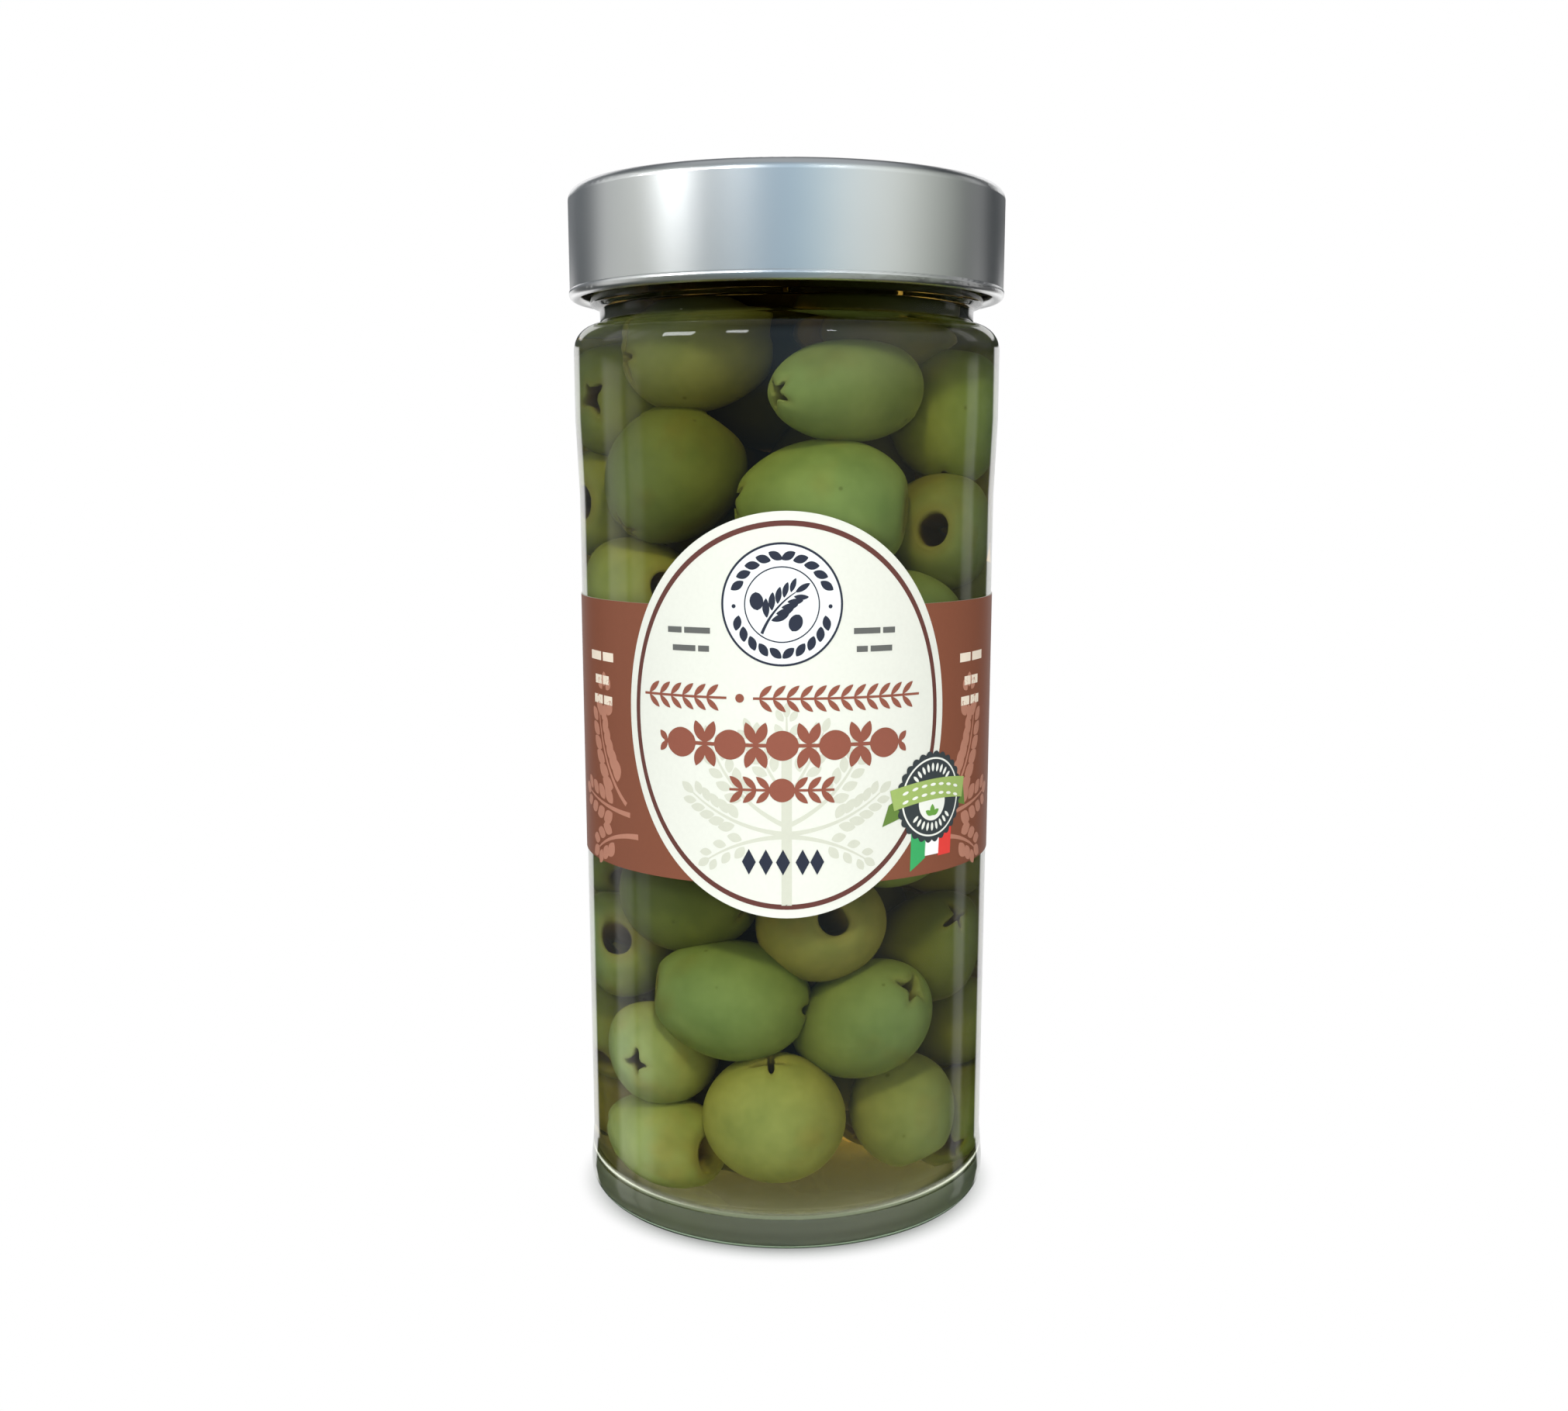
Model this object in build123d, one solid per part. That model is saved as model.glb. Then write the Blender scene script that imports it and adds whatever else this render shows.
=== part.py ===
"""A tall glass jar of pitted green olives in brine, shut by a deep twist-off steel cap.

Millimetres, +Z up, origin at the centre of the underside. The front of the label faces -Y.
Four pieces: the glass, its contents, the cap and the wrapped label. Radii are worked out
inwards from the label panel, and heights downwards from the top of the cap.
"""

from build123d import *
from math import cos, sin, tau
import os

# ---- Cap ----
total_height = 178.0         # underside of the jar to the top of the cap
cap_height = 18.0            # foot of the hem to the top
cap_sheet = 0.3              # lacquered tinplate
cap_corner = 1.8
cap_play = 2.25              # crest of the thread to the inside of the skirt
cap_panel_inset = 1.8        # mouth of the jar to the foot of the sunk panel's slope
cap_panel_depth = 0.8
cap_panel_slope = 1.0
hem_radius = 1.05            # radius of the rolled edge's own section
hem_proud = 0.15             # how far the rolled edge stands out of the skirt
lug_height = 1.6             # centre of the hem to the top of a lug
lug_span = 18.0              # degrees of arc in each lug
lug_clearance = 0.7          # lug to glass wall, and lug to the thread above it

# ---- Glass: outside ----
panel_radius = 36.4          # straight wall that the label is wrapped on
band_proud = 0.5             # the shoulder and the heel stand this far out of the panel
shoulder_band_height = 15.0  # straight part below the outer corner of the shoulder
shoulder_ramp_height = 13.0  # long slope from that band in to the panel
shoulder_corner = 4.2
shoulder_rise = 0.8          # the shoulder climbs this much on its way to the neck
neck_step = 4.6              # from the shoulder band in to the waist
neck_height = 2.6            # length of the waist
finish_step = 1.1            # from the waist out to the wall that carries the thread
bead_step = 0.5              # from that wall out to the bead just under the cap
bead_height = 1.9
bead_cover = 0.5             # the hem comes down this far over the bead
heel_band_height = 5.0
heel_ramp_height = 6.0
heel_corner = 3.6

# ---- Glass: inside ----
wall = 2.5                   # glass thickness at the panel
finish_wall = 3.4            # glass thickness at the mouth
base_thickness = 4.2
inner_corner = 5.0
push_up = 2.6                # how far the middle of the base is domed up
bearing_width = 6.0          # flat ring that the jar stands on
inner_shoulder_height = 3.0

# ---- Thread ----
thread_starts = 4
thread_span = 62.0           # degrees of arc in each start
thread_depth = 1.4
thread_height = 2.2

# ---- Contents ----
headspace = 9.2              # rim to the brine

# ---- Label ----
label_sheet = 0.15
label_inset = 1.95           # top of the oval to the top of the panel
label_band_height = 45.4
label_band_drop = 4.8        # centre of the oval down to the centre of the band
label_gap = 5.0              # bare glass between the two ends at the back
oval_half_width = 28.8       # measured round the jar
oval_half_height = 32.95
oval_outline_points = 32

# ---- Radii that follow ----
band_radius = panel_radius + band_proud
neck_radius = band_radius - neck_step
finish_radius = neck_radius + finish_step
bead_radius = finish_radius + bead_step
bore_radius = finish_radius - finish_wall
inner_radius = panel_radius - wall
bearing_radius = band_radius - heel_corner - bearing_width
thread_radius = finish_radius + thread_depth
cap_radius = thread_radius + cap_play + cap_sheet
cap_panel_radius = bore_radius - cap_panel_inset
hem_centre_radius = cap_radius + hem_proud - hem_radius
lug_radius = finish_radius + lug_clearance
label_radius = panel_radius + label_sheet

# ---- Heights that follow ----
rim_height = total_height - cap_sheet
hem_foot = total_height - cap_height
hem_centre_height = hem_foot + hem_radius
lug_top = hem_centre_height + lug_height
thread_foot = lug_top + lug_clearance
thread_top = thread_foot + thread_height
bead_top = hem_foot + bead_cover
neck_top = bead_top - bead_height
neck_foot = neck_top - neck_height
shoulder_height = neck_foot - shoulder_rise
inner_shoulder_foot = shoulder_height - inner_shoulder_height
shoulder_band_foot = shoulder_height - shoulder_band_height
panel_top = shoulder_band_foot - shoulder_ramp_height
panel_foot = heel_band_height + heel_ramp_height
fill_height = rim_height - headspace
oval_centre_height = panel_top - label_inset - oval_half_height
label_band_centre = oval_centre_height - label_band_drop


def turned(corners):
    """Turns a closed outline of (radius, height, rounding) corners round the axis."""
    points = [(radius, height) for radius, height, _ in corners]
    roundings = [rounding for _, _, rounding in corners]
    outline = FilletPolyline(*points, radius=roundings, close=True)
    return revolve(Plane.XZ * make_face(outline.edges()), Axis.Z)


def turned_arc(corners, start_angle, span):
    """Sweeps a sharp outline of (radius, height) corners round the axis for a span of degrees."""
    outline = Polyline(*corners, close=True)
    sector = revolve(Plane.XZ * make_face(outline.edges()), Axis.Z, revolution_arc=span)
    return Rot(0, 0, start_angle) * sector


def outer_corners():
    """Outside of the glass, from the middle of the base up to the outer edge of the rim."""
    base_round = 12.0
    ramp_round = 9.0
    neck_round = 0.7
    bead_round = 0.4
    bead_slope = 0.6
    rim_round = 1.3
    return [
        (0, push_up, 0),
        (bearing_radius, 0, base_round),
        (band_radius, 0, heel_corner),
        (band_radius, heel_band_height, ramp_round),
        (panel_radius, panel_foot, ramp_round),
        (panel_radius, panel_top, ramp_round),
        (band_radius, shoulder_band_foot, ramp_round),
        (band_radius, shoulder_height, shoulder_corner),
        (neck_radius, neck_foot, neck_round),
        (neck_radius, neck_top, neck_round),
        (bead_radius, neck_top + bead_slope, bead_round),
        (bead_radius, bead_top, bead_round),
        (finish_radius, bead_top + bead_slope, bead_round),
        (finish_radius, rim_height, rim_round),
    ]


def inner_corners():
    """Inside of the glass, from the middle of its floor up to the foot of the mouth."""
    floor_round = 20.0
    shoulder_round = 4.0
    mouth_round = 3.0
    return [
        (0, base_thickness + push_up, 0),
        (bearing_radius, base_thickness, floor_round),
        (inner_radius, base_thickness, inner_corner),
        (inner_radius, inner_shoulder_foot, shoulder_round),
        (bore_radius, shoulder_height, mouth_round),
    ]


def make_glass():
    """Flint glass: a heavy base, a straight panel, a waist, a bead and four starts of thread."""
    rim_round = 1.0
    rim = (bore_radius, rim_height, rim_round)
    glass = turned([*outer_corners(), rim, *reversed(inner_corners())])
    root_radius = finish_radius - thread_depth / 2
    flank = thread_height / 4
    thread = [
        (root_radius, thread_foot),
        (thread_radius, thread_foot + flank),
        (thread_radius, thread_top - flank),
        (root_radius, thread_top),
    ]
    for start in range(thread_starts):
        glass += turned_arc(thread, start * 360 / thread_starts, thread_span)
    return glass


def make_contents():
    """Olives under brine, filled to a level that the skirt of the cap covers."""
    return turned([*inner_corners(), (bore_radius, fill_height, 0), (0, fill_height, 0)])


def make_cap():
    """Drawn tinplate: a sunk panel, a rounded corner, a straight skirt, a rolled hem, four lugs."""
    panel_height = total_height - cap_panel_depth
    slope_foot = cap_panel_radius - cap_panel_slope
    inside_radius = cap_radius - cap_sheet
    bend = 0.5
    outer_bend = bend + cap_sheet
    cap = turned([
        (0, panel_height, 0),
        (slope_foot, panel_height, outer_bend),
        (cap_panel_radius, total_height, bend),
        (cap_radius, total_height, cap_corner),
        (cap_radius, hem_centre_height, 0),
        (inside_radius, hem_centre_height, 0),
        (inside_radius, rim_height, cap_corner - cap_sheet),
        (cap_panel_radius, rim_height, outer_bend),
        (slope_foot, rim_height - cap_panel_depth, bend),
        (0, rim_height - cap_panel_depth, 0),
    ])
    cap += Pos(0, 0, hem_centre_height) * Torus(hem_centre_radius, hem_radius)
    lug = [
        (lug_radius, hem_centre_height),
        (hem_centre_radius, hem_centre_height),
        (hem_centre_radius, lug_top),
        (lug_radius, lug_top),
    ]
    engaged_angle = (thread_span - lug_span) / 2
    for start in range(thread_starts):
        cap += turned_arc(lug, start * 360 / thread_starts + engaged_angle, lug_span)
    return cap


def make_label():
    """One die-cut paper wrap: a band right round the jar, less a gap behind, and a big oval."""
    across = 4 * label_radius
    wrap = Cylinder(label_radius, total_height) - Cylinder(panel_radius, total_height)
    wrap = Pos(0, 0, total_height / 2) * wrap
    band = wrap & Pos(0, 0, label_band_centre) * Box(across, across, label_band_height)
    gap = Box(label_gap, label_radius, label_band_height)
    band -= Pos(0, label_radius, label_band_centre) * gap

    def on_outline(turn):
        """A point of the oval seen from the front: an ellipse of flat paper bent round the jar."""
        bend = oval_half_width * cos(turn) / label_radius
        return (label_radius * sin(bend), oval_centre_height + oval_half_height * sin(turn))

    points = [on_outline(tau * i / oval_outline_points) for i in range(oval_outline_points)]
    outline = make_face(Spline(*points, periodic=True).edges())
    oval = wrap & extrude(Plane.XZ * outline, amount=across)
    return band + oval


if __name__ == "__main__":
    os.makedirs("parts", exist_ok=True)
    pieces = {
        "glass_jar": make_glass(),
        "olives_in_brine": make_contents(),
        "twist_off_cap": make_cap(),
        "label": make_label(),
    }
    for name, piece in pieces.items():
        export_step(piece, f"parts/{name}.step")
        print(name, round(piece.volume / 1000, 2), "cm3")
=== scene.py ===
from math import cos, pi, radians, sin, tau
import bmesh
import bpy
import numpy as np
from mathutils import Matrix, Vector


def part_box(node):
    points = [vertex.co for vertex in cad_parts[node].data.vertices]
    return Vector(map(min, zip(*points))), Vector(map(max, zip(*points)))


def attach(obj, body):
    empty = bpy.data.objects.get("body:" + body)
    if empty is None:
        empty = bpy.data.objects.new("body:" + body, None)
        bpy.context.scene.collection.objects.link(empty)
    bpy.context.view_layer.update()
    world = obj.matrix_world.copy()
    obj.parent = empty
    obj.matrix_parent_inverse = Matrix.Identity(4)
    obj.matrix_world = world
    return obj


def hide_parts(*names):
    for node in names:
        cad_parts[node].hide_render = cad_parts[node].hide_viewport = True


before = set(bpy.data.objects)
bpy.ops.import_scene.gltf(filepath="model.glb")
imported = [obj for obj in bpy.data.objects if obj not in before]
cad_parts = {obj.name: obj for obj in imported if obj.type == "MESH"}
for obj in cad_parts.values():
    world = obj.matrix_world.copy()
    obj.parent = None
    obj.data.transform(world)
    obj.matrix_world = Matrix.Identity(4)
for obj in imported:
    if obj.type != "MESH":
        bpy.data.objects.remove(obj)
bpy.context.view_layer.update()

# ---- Studio ----
# A white table in a pale room. The camera stands level with the upper third of the jar. Soft boxes
# light it from both sides, above and low in front, and small lamps put lights on its shoulder.
camera_distance = 0.3071
camera_height = 0.1313
camera_dip = radians(11.10)
camera_lens = 39.10
camera_shift = (-0.0017, 0.0638)


def set_up(tree, made, **settings):
    """Sets up a node. A socket is joined to the input of that name, and another value sets the
    node itself or else that input. In an input's name, a _ stands for a space."""
    for name, value in settings.items():
        if isinstance(value, bpy.types.NodeSocket):
            tree.links.new(value, made.inputs[name.replace("_", " ")])
        elif hasattr(made, name):
            setattr(made, name, value)
        else:
            made.inputs[name.replace("_", " ")].default_value = value


def node(tree, kind, **settings):
    """A new shader node of this kind with these settings."""
    made = tree.nodes.new("ShaderNode" + kind)
    set_up(tree, made, **settings)
    return made


def paint_tree(name):
    """A new material and its empty node tree."""
    material = bpy.data.materials.new(name)
    material.use_nodes = True
    material.node_tree.nodes.clear()
    return material, material.node_tree


def maths(tree, operation, first, second=0.5):
    """One Math node. Each side is a number or a socket, and a third side stays at 0.5."""
    made = node(tree, "Math", operation=operation)
    for slot_input, value in zip(made.inputs, (first, second)):
        if isinstance(value, (int, float)):
            slot_input.default_value = value
        else:
            tree.links.new(value, slot_input)
    return made.outputs[0]


def ramp(tree, factor, stops):
    """A colour ramp over factor. Stops are (place, colour) pairs, and a colour has three parts."""
    made = node(tree, "ValToRGB", Fac=factor)
    points = made.color_ramp.elements
    points[0].position, points[1].position = stops[0][0], stops[-1][0]
    for place, _ in stops[1:-1]:
        points.new(place)
    for point, (_, colour) in zip(points, stops):
        point.color = (*colour, 1.0)
    return made.outputs["Color"]


def grey_ramp(tree, factor, stops):
    """A ramp of greys from (place, level) stops."""
    return ramp(tree, factor, [(place, (level, level, level)) for place, level in stops])


def multiplied(tree, colour, tint):
    """One colour multiplied by another."""
    kind = {"data_type": "RGBA", "blend_type": "MULTIPLY", "Factor": 1.0}
    return node(tree, "Mix", **kind, A=colour, B=tint).outputs["Result"]


def mixed(tree, share, first, second):
    """The shader that is first where share is 0 and second where it is 1."""
    made = node(tree, "MixShader")
    for slot_input, socket in zip(made.inputs, (share, first, second)):
        tree.links.new(socket, slot_input)
    return made.outputs[0]


camera = bpy.data.objects.new("camera", bpy.data.cameras.new("camera"))
bpy.context.scene.collection.objects.link(camera)
camera.location = (0.0, -camera_distance, camera_height)
camera.rotation_euler = (pi / 2 - camera_dip, 0.0, 0.0)
camera.data.sensor_width = 36.0
camera.data.lens = camera_lens
camera.data.shift_x, camera.data.shift_y = camera_shift
camera.data.clip_start = 0.01
bpy.context.scene.camera = camera
bpy.context.scene.view_settings.view_transform = "Standard"

lamp_target = 0.09


def soft_box(name, azimuth, elevation, distance, size, watts, colour):
    """An area lamp that faces the middle of the jar and doesn't show in it. Azimuth 0 is the
    camera's side, and + is to the right."""
    lamp = bpy.data.lights.new(name, "AREA")
    lamp.shape = "RECTANGLE"
    lamp.size, lamp.size_y = size
    lamp.energy = watts
    lamp.color = colour
    held = bpy.data.objects.new(name, lamp)
    bpy.context.scene.collection.objects.link(held)
    turn, lift = radians(azimuth), radians(elevation)
    held.location = (
        distance * cos(lift) * sin(turn),
        -distance * cos(lift) * cos(turn),
        lamp_target + distance * sin(lift),
    )
    held.rotation_euler = (pi / 2 - lift, 0.0, turn)
    held.visible_glossy = False
    held.visible_transmission = False
    held.visible_camera = False
    return held


soft_box("left_box", -62, 12, 0.9, (0.5, 0.9), 1.8, (1.0, 1.0, 0.98))
soft_box("right_box", 54, 14, 0.9, (0.5, 0.9), 3.4, (1.0, 1.0, 0.98))
soft_box("over_camera", 8, 50, 1.0, (0.7, 0.5), 1.1, (0.97, 0.99, 1.0))
soft_box("below_camera", -6, 0, 1.0, (0.6, 0.4), 3.0, (1.0, 1.0, 0.98))
soft_box("ceiling_lamp", -3, 46, 1.2, (0.12, 0.12), 6.6, (1.0, 1.0, 0.97))
spot_distance = 0.8
spot_watts_per_area = 30.0
for name, azimuth, elevation, size in (
    ("left_spot", -59, 25, (0.24, 0.14)),
    ("middle_spot", -26, 29, (0.14, 0.12)),
    ("right_spot", 24, 32, (0.06, 0.05)),
):
    watts = spot_watts_per_area * size[0] * size[1]
    spot = soft_box(name, azimuth, elevation, spot_distance, size, watts, (0.95, 0.98, 1.0))
    spot.visible_glossy = True

# The room that polished surfaces mirror: its walls by azimuth in degrees, its ceiling, and tall
# windows behind and at the sides, whose levels go from 0 to 1.
walls = [
    (-180, (0.06, 0.07, 0.08)),
    (-140, (0.08, 0.09, 0.10)),
    (-118, (0.10, 0.11, 0.12)),
    (-98, (0.30, 0.33, 0.32)),
    (-76, (0.42, 0.44, 0.42)),
    (-56, (0.26, 0.28, 0.27)),
    (-38, (0.30, 0.35, 0.38)),
    (-20, (0.36, 0.45, 0.52)),
    (0, (0.36, 0.50, 0.63)),
    (16, (0.52, 0.66, 0.74)),
    (32, (0.72, 0.80, 0.82)),
    (54, (0.76, 0.80, 0.78)),
    (72, (0.52, 0.55, 0.52)),
    (92, (0.30, 0.32, 0.30)),
    (112, (0.03, 0.035, 0.04)),
    (134, (0.02, 0.025, 0.03)),
    (180, (0.04, 0.045, 0.05)),
]
back_windows = [
    (147, 0.0), (150, 1.0), (154, 0.90), (160, 0.77), (166, 0.63), (172, 0.48), (180, 0.40),
]
left_windows = [
    (-117, 0.0), (-112, 0.42), (-99, 0.36), (-96, 0.0), (-92, 0.28), (-85, 0.28), (-82, 0.0),
]
right_windows = [(110, 0.0), (113, 0.34), (121, 0.34), (125, 0.0)]
back_mirrored = [(-azimuth, level) for azimuth, level in reversed(back_windows)]
windows = back_mirrored + left_windows + right_windows + back_windows
window_level = 1.5
room_level = 0.28
ceiling_colour = (0.36, 0.38, 0.40, 1.0)
pure_white = (1.0, 1.0, 1.0, 1.0)


def by_azimuth(stops):
    """Stops in degrees as stops of a ramp over a whole turn that starts behind the jar."""
    return [((azimuth + 180) / 360, value) for azimuth, value in stops]


room = bpy.data.worlds.new("pale_room")
bpy.context.scene.world = room
room.use_nodes = True
sky = room.node_tree
sky.nodes.clear()
heading = node(sky, "TexCoord")
split = node(sky, "SeparateXYZ", Vector=heading.outputs["Generated"])
backwards = maths(sky, "MULTIPLY", split.outputs["Y"], -1.0)
turned_by = maths(sky, "ARCTAN2", split.outputs["X"], backwards)
round_room = maths(sky, "MULTIPLY_ADD", turned_by, 1 / tau)
up_room = maths(sky, "MULTIPLY_ADD", split.outputs["Z"], 0.5)
# The walls are brighter above the middle (0.5), where the cap mirrors them, and fade at the top.
by_height = ramp(sky, up_room, [
    (0.0, (0.42, 0.43, 0.40)),
    (0.53, (0.42, 0.43, 0.40)),
    (0.56, (1.15, 1.15, 1.15)),
    (0.80, (1.0, 1.0, 1.0)),
    (0.93, (0.35, 0.38, 0.42)),
])
lit_walls = multiplied(sky, ramp(sky, round_room, by_azimuth(walls)), by_height)
overhead = grey_ramp(sky, up_room, [(0.88, 0.0), (0.95, 1.0)])
ceiling = node(sky, "Mix", data_type="RGBA", Factor=overhead, A=lit_walls, B=ceiling_colour)
# The windows leave out the strip that the side of the cap mirrors.
window_heights = grey_ramp(sky, up_room, [
    (0.27, 0.0), (0.29, 1.0), (0.545, 1.0), (0.55, 0.0),
    (0.585, 0.0), (0.60, 1.0), (0.75, 1.0), (0.80, 0.0),
])
window = maths(sky, "MULTIPLY", grey_ramp(sky, round_room, by_azimuth(windows)), window_heights)


def backdrop(colour, level):
    """A Background shader for the room."""
    return node(sky, "Background", Color=colour, Strength=level).outputs[0]


# The camera sees white, also through the glass. First reflections see the room, and all other
# rays get an even low light.
path = node(sky, "LightPath")
first_look = maths(sky, "LESS_THAN", path.outputs["Diffuse Depth"], 0.5)
through_glass = maths(sky, "MULTIPLY", path.outputs["Is Transmission Ray"], first_look)
seen_white = maths(sky, "MAXIMUM", path.outputs["Is Camera Ray"], through_glass)
glossy_first = maths(sky, "MULTIPLY", path.outputs["Is Glossy Ray"], first_look)
walls_only = backdrop(ceiling.outputs["Result"], 1.0)
mirrored_room = mixed(sky, window, walls_only, backdrop(pure_white, window_level))
in_gloss = mixed(sky, glossy_first, backdrop(pure_white, room_level), mirrored_room)
all_round = mixed(sky, seen_white, in_gloss, backdrop(pure_white, 1.0))
node(sky, "OutputWorld", Surface=all_round)


def mesh_piece(name, points, faces, body="root"):
    """A smooth-shaded mesh from an array of points in millimetres and an array or list of faces."""
    mesh = bpy.data.meshes.new(name)
    rows = np.asarray(points, float).reshape(-1, 3) * 0.001
    mesh.from_pydata(rows, [], faces if isinstance(faces, list) else faces.tolist())
    mesh.shade_smooth()
    piece = bpy.data.objects.new(name, mesh)
    bpy.context.scene.collection.objects.link(piece)
    if body:
        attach(piece, body)
    return piece


table_radius = 250.0
table_sides = 96
turns = np.linspace(0, tau, table_sides, endpoint=False)
rim = np.stack([table_radius * np.cos(turns), table_radius * np.sin(turns), 0 * turns], -1)
table = mesh_piece("table", rim, [list(range(table_sides))], body=None)
table.visible_glossy = False
material, tree = paint_tree("white_table")
matt = node(tree, "BsdfDiffuse", Color=(0.8, 0.8, 0.8, 1.0))
# The camera sees a white table with a painted contact shadow: its emission darkens by ambient
# occlusion only where the jar stands on it.
painted_contact_shadow = node(tree, "AmbientOcclusion", samples=8, Distance=0.004)
shade = ramp(tree, painted_contact_shadow.outputs["AO"], [
    (0.0, (0.34, 0.35, 0.34)),
    (0.5, (0.74, 0.75, 0.74)),
    (0.8, (0.95, 0.95, 0.95)),
    (0.94, (1.0, 1.0, 1.0)),
])
lit = node(tree, "Emission", Strength=1.0, Color=shade)
# Seen through the glass, the table is an emission with painted light and shade: a dim ring of
# painted shade under the heavy corner of the base, and elsewhere a painted glow brighter than
# white. The places of the ramp are distances from the axis in tenths of a metre.
place = node(tree, "TexCoord")
out_from_jar = node(tree, "VectorMath", operation="LENGTH", Vector=place.outputs["Object"])
tenths = maths(tree, "MULTIPLY", out_from_jar.outputs["Value"], 10.0)
painted_light_under_glass = ramp(tree, tenths, [
    (0.0, (1.7, 1.7, 1.4)),
    (0.22, (1.7, 1.7, 1.4)),
    (0.25, (0.28, 0.31, 0.21)),
    (0.31, (0.28, 0.31, 0.21)),
    (0.335, (1.5, 1.5, 1.3)),
    (0.45, (1.3, 1.3, 1.2)),
])
table_glow_under_glass = node(tree, "Emission", Strength=1.0, Color=painted_light_under_glass)
path = node(tree, "LightPath")
through = mixed(tree, path.outputs["Is Transmission Ray"], matt.outputs[0], table_glow_under_glass.outputs[0])
seen = mixed(tree, path.outputs["Is Camera Ray"], through, lit.outputs[0])
node(tree, "OutputMaterial", Surface=seen)
table.data.materials.append(material)

# ---- Glass jar ----
# Flint glass, pressed and blown in a split mould: a heavy base, a straight panel for the label, a
# waist, a bead and four starts of thread. One closed skin goes over the rim and down inside.
glass_high = np.array(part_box("glass_jar")[1]) * 1000
contents_high = np.array(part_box("olives_in_brine")[1]) * 1000
rim_height = glass_high[2]
band_radius = glass_high[0]
inner_radius = contents_high[0]
fill_height = contents_high[2]
band_proud = 0.5
neck_step = 4.6
finish_step = 1.1
bead_step = 0.5
finish_wall = 3.4
shoulder_drop = 22.5
inner_shoulder_height = 3.0
bearing_inset = 9.6
base_thickness = 4.2
push_up = 2.6
inner_corner = 5.0
panel_radius = band_radius - band_proud
neck_radius = band_radius - neck_step
finish_radius = neck_radius + finish_step
bead_radius = finish_radius + bead_step
bore_radius = finish_radius - finish_wall
shoulder_height = rim_height - shoulder_drop
inner_shoulder_foot = shoulder_height - inner_shoulder_height
bearing_radius = band_radius - bearing_inset
heel_band_height = 5.0
panel_foot = 11.0
band_foot = shoulder_height - 15.0
panel_top = shoulder_height - 28.0
neck_foot = shoulder_height + 0.8
neck_top = shoulder_height + 3.4
bead_foot = shoulder_height + 4.0
bead_top = shoulder_height + 5.3
finish_foot = shoulder_height + 5.9
thread_foot = shoulder_height + 8.15
thread_height = 2.2
thread_flank = 0.55
thread_depth = 1.4
thread_span = radians(62)
crest_foot = thread_foot + thread_flank
thread_top = thread_foot + thread_height
crest_top = thread_top - thread_flank


def rounded(corners, steps=9):
    """An outline through (radius, height, rounding) corners, where each rounding is an arc that
    touches both sides: it starts rounding * tan(turn / 2) before the corner."""
    spots = np.array([corner[:2] for corner in corners], float)
    line = [spots[0]]
    for before, here, after, (_, _, rounding) in zip(spots, spots[1:], spots[2:], corners[1:-1]):
        into = (here - before) / np.linalg.norm(here - before)
        out = (after - here) / np.linalg.norm(after - here)
        side = np.array([-into[1], into[0]])
        turn = np.arctan2(out @ side, out @ into)
        if rounding == 0 or abs(turn) < 1e-6:
            line.append(here)
            continue
        start = here - into * rounding * np.tan(abs(turn) / 2)
        sweep = np.linspace(0, abs(turn), steps)[:, None]
        arc = np.sin(sweep) * into + (1 - np.cos(sweep)) * side * np.sign(turn)
        line += list(start + rounding * arc)
    line.append(spots[-1])
    return np.array(line)


def grid_faces(rows, columns, close_rows=False, close_columns=False):
    """Quads between the points of a grid of rows by columns. Where a direction closes, quads also
    join its last points to its first."""
    row, column = np.meshgrid(
        np.arange(rows if close_rows else rows - 1),
        np.arange(columns if close_columns else columns - 1),
        indexing="ij",
    )
    next_row, next_column = (row + 1) % rows, (column + 1) % columns
    corners = [(row, column), (row, next_column), (next_row, next_column), (next_row, column)]
    return np.stack([at * columns + step for at, step in corners], -1).reshape(-1, 4)


def turned(name, outline, around, shape=None):
    """An outline of (radius, height) from axis to axis, carried round the axis: a point is
    (radius cos turn, radius sin turn, height). Shape may change (radius, height) by turn."""
    turns = np.linspace(0, tau, around, endpoint=False)
    radius = outline[1:-1, :1] + 0 * turns
    height = outline[1:-1, 1:] + 0 * turns
    if shape:
        radius, height = shape(radius, height, turns + 0 * radius)
    rings = np.stack([radius * np.cos(turns), radius * np.sin(turns), height], -1)
    poles = [[0, 0, outline[0, 1]], [0, 0, outline[-1, 1]]]
    points = np.concatenate([rings.reshape(-1, 3), poles])
    quads = grid_faces(len(rings), around, close_columns=True).tolist()
    last = (len(rings) - 1) * around
    foot = len(points) - 2
    fans = [[foot, (k + 1) % around, k] for k in range(around)]
    fans += [[foot + 1, last + k, last + (k + 1) % around] for k in range(around)]
    return mesh_piece(name, points, quads + fans)


def inside(grown=0.0):
    """Corners of the inside, from the middle of the floor up to the foot of the mouth, all moved
    into the glass by this much."""
    floor = base_thickness - grown
    return [
        (0, floor + push_up, 0),
        (bearing_radius, floor, 20),
        (inner_radius + grown, floor, inner_corner),
        (inner_radius + grown, inner_shoulder_foot, 4),
        (bore_radius + grown, shoulder_height, 3),
    ]


def moulded(radius, height, turn):
    """Thread: four level ridges stand out of the finish, each over thread_span of every quarter."""
    quarter = np.mod(turn, tau / 4)
    crest = (quarter < thread_span) & (np.abs(radius - finish_radius) < 0.01)
    crest &= (height > crest_foot - 0.1) & (height < crest_top + 0.1)
    return radius + thread_depth * crest, height


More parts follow.
